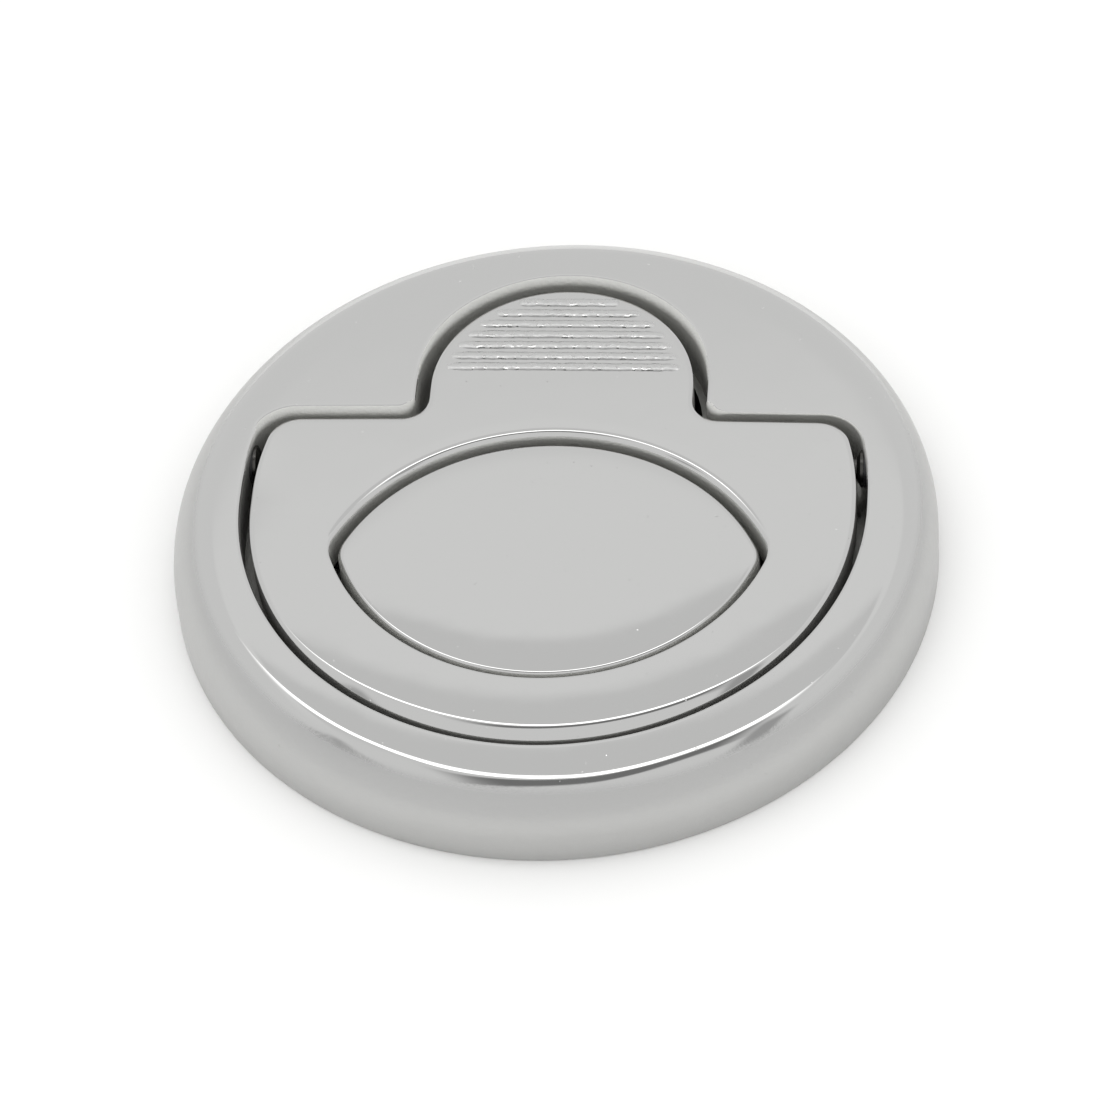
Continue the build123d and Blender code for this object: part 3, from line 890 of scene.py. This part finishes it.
def rib_steel(finish):
    """The grip ribs' steel, cast and only brushed over: soft bright lines, glints, and painted shade on the
    feet that face the front.
    """
    material, tree = new_material("brushed_over_cast_rib_stainless")
    grained = grain(tree, 0.04 * MM, 0.45 * MM, 1.0)
    rough = add(tree, "ShaderNodeMapRange", [noise(tree, 0.55 * MM, 1.0), 0.54, 0.64, 0.42, 0.16], **SMOOTH)
    facing = add(tree, "ShaderNodeTexCoord").outputs["Normal"]
    front = add(tree, "ShaderNodeSeparateXYZ", [facing]).outputs["Y"]
    # painted shade: faces turned to the front, at each rib's foot, are dimmed to stand for the shade there
    foot = add(tree, "ShaderNodeMapRange", [front, -0.5, -0.3, 1, 0], **SMOOTH)
    tones = {"Factor": foot, "A": rgba(finish.steel), "B": rgba(finish.steel, 0.62)}
    tone = add(tree, "ShaderNodeMix", tones, data_type="RGBA")
    shade(tree, {"Base Color": tone, "Metallic": 1.0, "Roughness": rough, "Normal": grained})
    return material


def blasted_steel(finish):
    """Bead-blasted cast stainless steel of the base pan: dull, even, faintly grainy and slightly stained."""
    material, tree = new_material("bead_blasted_stainless")
    stains = {"Factor": noise(tree, 9 * MM), "A": rgba(finish.blasted, 0.75), "B": rgba(finish.blasted)}
    tone = add(tree, "ShaderNodeMix", stains, data_type="RGBA")
    grained = grain(tree, 0.03 * MM, 0.25 * MM)
    shade(tree, {"Base Color": tone, "Metallic": 1.0, "Roughness": 0.42, "Normal": grained})
    return material


def turned_steel(finish):
    """Turned steel bar of the hinge pins, coloured dark as painted shade in the hinge gap, with fine tool
    marks round the axis.
    """
    material, tree = new_material("turned_steel_painted_shade")
    marks = grain(tree, 0.004 * MM, 0.08 * MM, 1.0, (1, 400, 400))
    # painted shade: the dark base colour stands for the shade in the hinge gap
    shade(tree, {"Base Color": rgba(finish.turned), "Metallic": 1.0, "Roughness": 0.4, "Normal": marks})
    return material


def spring_steel(finish):
    """Blackened, oiled spring steel of the coned washers, with rolling streaks."""
    material, tree = new_material("blackened_spring_steel")
    rough = uneven(tree, noise(tree, 0.3 * MM, 2.0, (1, 6, 1)), 0.25, 0.4)
    shade(tree, {"Base Color": rgba(finish.spring), "Metallic": 1.0, "Roughness": rough})
    return material


def screw_steel(finish):
    """Cold-headed stainless screws: satin, lightly tumbled."""
    material, tree = new_material("cold_headed_stainless")
    rough = uneven(tree, noise(tree, 0.5 * MM), 0.24, 0.36)
    dents = grain(tree, 0.01 * MM, 0.5 * MM)
    shade(tree, {"Base Color": rgba(finish.screw), "Metallic": 1.0, "Roughness": rough, "Normal": dents})
    return material


def acetal(finish):
    """Black acetal of the hinge bushes: dark, waxy plastic with a soft sheen."""
    material, tree = new_material("black_acetal")
    rough = uneven(tree, noise(tree, 0.6 * MM), 0.34, 0.46)
    shade(tree, {"Base Color": rgba(finish.acetal), "Roughness": rough, "IOR": 1.48})
    return material


def nitrile_rubber(finish):
    """Nitrile rubber of the pads and the gasket: near black, matt, with a fine moulded grain."""
    material, tree = new_material("nitrile_rubber")
    rough = uneven(tree, noise(tree, 3 * MM), 0.62, 0.78)
    grained = grain(tree, 0.02 * MM, 0.2 * MM)
    shade(tree, {"Base Color": rgba(finish.rubber), "Roughness": rough, "IOR": 1.52, "Normal": grained})
    return material


# ---------------------------------------------------------------- operators

GAPS_REACH = 28 * MM      # every gap's walls lie within this distance of the main axis


class RINGPULL_OT_bezel(bpy.types.Operator):
    """Build the polished bezel"""

    bl_idname = "ringpull.bezel"
    bl_label = "Bezel"

    def execute(self, context):
        piece = build_bezel(context.scene.ring_pull_sizes)
        finish_casting(context, piece, "housing", "bezel", GAPS_REACH, 0.995)
        return {"FINISHED"}


class RINGPULL_OT_lift_ring(bpy.types.Operator):
    """Build the lift ring"""

    bl_idname = "ringpull.lift_ring"
    bl_label = "Lift ring"

    def execute(self, context):
        piece = build_lift_ring(context.scene.ring_pull_sizes)
        finish_casting(context, piece, "ring", "lift_ring", GAPS_REACH)
        return {"FINISHED"}


class RINGPULL_OT_grip_ribs(bpy.types.Operator):
    """Build the grip ribs on the thumb tab"""

    bl_idname = "ringpull.grip_ribs"
    bl_label = "Grip ribs"

    def execute(self, context):
        material = rib_steel(context.scene.ring_pull_finish)
        piece = build_grip_ribs(context.scene.ring_pull_sizes, material)
        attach(piece, "ring")
        return {"FINISHED"}


class RINGPULL_OT_island(bpy.types.Operator):
    """Build the island in the ring's eye"""

    bl_idname = "ringpull.island"
    bl_label = "Centre island"

    def execute(self, context):
        piece = build_island(context.scene.ring_pull_sizes)
        finish_casting(context, piece, "housing", "centre_island", 1.0)
        return {"FINISHED"}


class RINGPULL_OT_hidden_parts(bpy.types.Operator):
    """Give the base, the hinge, the pads and the screws their finishes"""

    bl_idname = "ringpull.hidden_parts"
    bl_label = "Base, hinge, pads and screws"

    def execute(self, context):
        finish = context.scene.ring_pull_finish
        for make, names in CAD_FINISHES.items():
            material = make(finish)
            for name in names:
                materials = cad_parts[name].data.materials
                for index in range(len(materials)):
                    materials[index] = material
                if not materials:
                    materials.append(material)
        return {"FINISHED"}


CAD_FINISHES = {
    blasted_steel: ["base_pan"],
    turned_steel: ["hinge_pin_left", "hinge_pin_right"],
    spring_steel: ["spring_washer_left", "spring_washer_right"],
    screw_steel: [*(f"base_screw_{i}" for i in range(1, 5)), "island_screw_1", "island_screw_2"],
    acetal: ["hinge_bush_left", "hinge_bush_right"],
    nitrile_rubber: ["tab_stop_pad", "panel_gasket", "ring_pad_left", "ring_pad_right"],
}


class RINGPULL_OT_stage(bpy.types.Operator):
    """Lay the floor, and set the light and the camera"""

    bl_idname = "ringpull.stage"
    bl_label = "Stage"

    def execute(self, context):
        lay_floor(context)
        light_tent(context)
        add_fill_light(context)
        set_camera(context)
        context.scene.view_settings.view_transform = "Standard"
        return {"FINISHED"}


def finish_casting(context, piece, body, node, wall_reach, soft_edge=0.5):
    """Polish a casting, leave its steep walls within a reach of the main axis as cast, with painted shade in
    the side gaps, and place it.

    Edges that face the front are left as cast where their normals rise less than the soft edge.
    """
    finish = context.scene.ring_pull_finish
    polished = bpy.data.materials.get("polished_cast_stainless") or polished_steel(finish)
    rough = bpy.data.materials.get("as_cast_stainless_gap_shade") or cast_steel(finish)
    piece.data.materials.clear()
    piece.data.materials.append(polished)
    piece.data.materials.append(rough)
    for face in piece.data.polygons:
        near = math.hypot(face.center.x, face.center.y) < wall_reach
        steepest = soft_edge if face.normal.y < -0.05 else 0.25
        face.material_index = int(near and face.normal.z < steepest)
    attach(piece, body)
    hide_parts(node)


# ---------------------------------------------------------------- stage

CAMERA = {"azimuth": 7.85, "elevation": 48.95, "roll": -5.4, "distance": 455 * MM, "lens": 174.6}
CAMERA_AIM = (-0.59 * MM, 0.80 * MM)      # of the view's centre, right of and above the origin


def add_fill_light(context):
    """Soft light from above for the floor and the gaps, unseen in the metal."""
    lamp = bpy.data.lights.new("fill", "SUN")
    lamp.energy = 0.45
    lamp.angle = math.radians(120)
    fill = bpy.data.objects.new("fill", lamp)
    fill.visible_glossy = False
    context.scene.collection.objects.link(fill)


def lay_floor(context):
    """Wide pale floor with a hole for the tab's well, in the plane that the pull sits on."""
    outer = circle(96) * 3.0
    hole = circle(96) * 18 * MM + np.array([0, 11 * MM])
    shell = Shell()
    rim, well = shell.loop(outer, 0.0), shell.loop(hole, 0.0)
    shell.fill(rim, [well], flat(0.0), 0)
    floor = shell.object("floor")
    material, tree = new_material("pale_floor")
    paint = rgba(context.scene.ring_pull_finish.floor)
    shade(tree, {"Base Color": paint, "Roughness": 0.9, "Specular IOR Level": 0.0})
    floor.data.materials.append(material)


def light_tent(context):
    """Soft white tent as the world's light, with a strip light overhead and the darker camera behind it."""
    world = bpy.data.worlds.new("light_tent")
    context.scene.world = world
    world.use_nodes = True
    tree = world.node_tree
    tree.nodes.clear()
    direction = add(tree, "ShaderNodeTexCoord").outputs["Generated"]
    turn = math.radians(CAMERA["azimuth"])
    axes = {
        "away": (-math.sin(turn), math.cos(turn), 0),
        "across": (math.cos(turn), math.sin(turn), 0),
        "up": (0, 0, 1),
    }
    part = {
        name: add(tree, "ShaderNodeVectorMath", [direction, axis], operation="DOT_PRODUCT")
        for name, axis in axes.items()
    }
    above = add(tree, "ShaderNodeMapRange", [part["up"], 0.3, 0.5, 0, 1], **SMOOTH)

    def patch(*bands):
        """One overhead where each direction part lies in its band: (part, low, high, softness)."""
        mask = above
        for value, low, high, soft in bands:
            rise = add(tree, "ShaderNodeMapRange", [value, low - soft, low + soft, 0, 1], **SMOOTH)
            fall = add(tree, "ShaderNodeMapRange", [value, high - soft, high + soft, 1, 0], **SMOOTH)
            for side in (rise, fall):
                mask = add(tree, "ShaderNodeMath", [mask, side], operation="MULTIPLY")
        return mask

    left = add(tree, "ShaderNodeMath", [part["across"], 0.0], operation="MINIMUM")
    skewed = add(tree, "ShaderNodeMath", [left, 0.45, part["away"]], operation="MULTIPLY_ADD")
    layers = {
        "ceiling": (0.84, add(tree, "ShaderNodeMapRange", [part["up"], 0.791, 0.811, 0, 1], **SMOOTH)),
        "behind": (0.93, add(tree, "ShaderNodeMapRange", [part["away"], -0.1, 0.25, 1, 0], **SMOOTH)),
        "camera": (0.25, patch((part["away"], -0.29, -0.06, 0.025), (part["across"], -0.3, 0.45, 0.12))),
        "strip light": (2.8, patch((skewed, 0.0, 0.18, 0.02), (part["across"], -0.5, 0.42, 0.12))),
        "left end": (0.55, patch((part["away"], -0.32, -0.1, 0.04), (part["across"], -0.8, -0.66, 0.03))),
        "right end": (0.5, patch((part["away"], -0.46, -0.16, 0.04), (part["across"], 0.5, 0.62, 0.03))),
        "table": (0.95, add(tree, "ShaderNodeMapRange", [part["up"], -0.02, 0.02, 1, 0], **SMOOTH)),
    }
    tent = add(tree, "ShaderNodeMapRange", [part["up"], 0.69, 0.745, 0.925, 1.0], **SMOOTH)
    for name, (brightness, mask) in layers.items():
        tent = add(tree, "ShaderNodeMix", {"Factor": mask, "A": tent, "B": brightness}, label=name)
    light = context.scene.ring_pull_finish.light
    strength = add(tree, "ShaderNodeMath", [tent, light], operation="MULTIPLY")
    background = add(tree, "ShaderNodeBackground", {"Color": (1, 1, 1, 1), "Strength": strength})
    add(tree, "ShaderNodeOutputWorld", [background])


def set_camera(context):
    """Camera at the product view: from the bow's side, high, and slightly rolled."""
    a, e, roll = (math.radians(CAMERA[k]) for k in ("azimuth", "elevation", "roll"))
    back = Vector((math.sin(a) * math.cos(e), -math.cos(a) * math.cos(e), math.sin(e)))
    level = back.cross(Vector((0, 0, 1))).normalized() * -1
    upright = back.cross(level)
    right = math.cos(roll) * level + math.sin(roll) * upright
    up = back.cross(right)
    place_at = back * CAMERA["distance"]
    aim = right * CAMERA_AIM[0] + up * CAMERA_AIM[1]
    look = (place_at - aim).normalized()
    right = (right - look * right.dot(look)).normalized()
    up = look.cross(right)
    data = bpy.data.cameras.new("camera")
    data.lens = CAMERA["lens"]
    data.sensor_width = 36
    data.clip_start = 0.01
    camera = bpy.data.objects.new("camera", data)
    context.scene.collection.objects.link(camera)
    camera.matrix_world = Matrix.Translation(place_at) @ Matrix((right, up, look)).transposed().to_4x4()
    context.scene.camera = camera


class RINGPULL_PT_panel(bpy.types.Panel):
    """Sidebar panel that lists the pieces"""

    bl_idname = "RINGPULL_PT_panel"
    bl_label = "Flush Ring Pull"
    bl_space_type = "VIEW_3D"
    bl_region_type = "UI"
    bl_category = "Ring Pull"

    def draw(self, context):
        for operator in OPERATORS:
            self.layout.operator(operator.bl_idname)


OPERATORS = [
    RINGPULL_OT_bezel,
    RINGPULL_OT_lift_ring,
    RINGPULL_OT_grip_ribs,
    RINGPULL_OT_island,
    RINGPULL_OT_hidden_parts,
    RINGPULL_OT_stage,
]
CLASSES = [RingPullSizes, RingPullFinish, *OPERATORS, RINGPULL_PT_panel]


def register():
    for cls in CLASSES:
        bpy.utils.register_class(cls)
    bpy.types.Scene.ring_pull_sizes = bpy.props.PointerProperty(type=RingPullSizes)
    bpy.types.Scene.ring_pull_finish = bpy.props.PointerProperty(type=RingPullFinish)


def unregister():
    del bpy.types.Scene.ring_pull_finish
    del bpy.types.Scene.ring_pull_sizes
    for cls in reversed(CLASSES):
        bpy.utils.unregister_class(cls)


def main():
    """Build every piece and the stage."""
    register()
    bpy.ops.ringpull.bezel()
    bpy.ops.ringpull.lift_ring()
    bpy.ops.ringpull.grip_ribs()
    bpy.ops.ringpull.island()
    bpy.ops.ringpull.hidden_parts()
    bpy.ops.ringpull.stage()


if __name__ == "__main__":
    main()
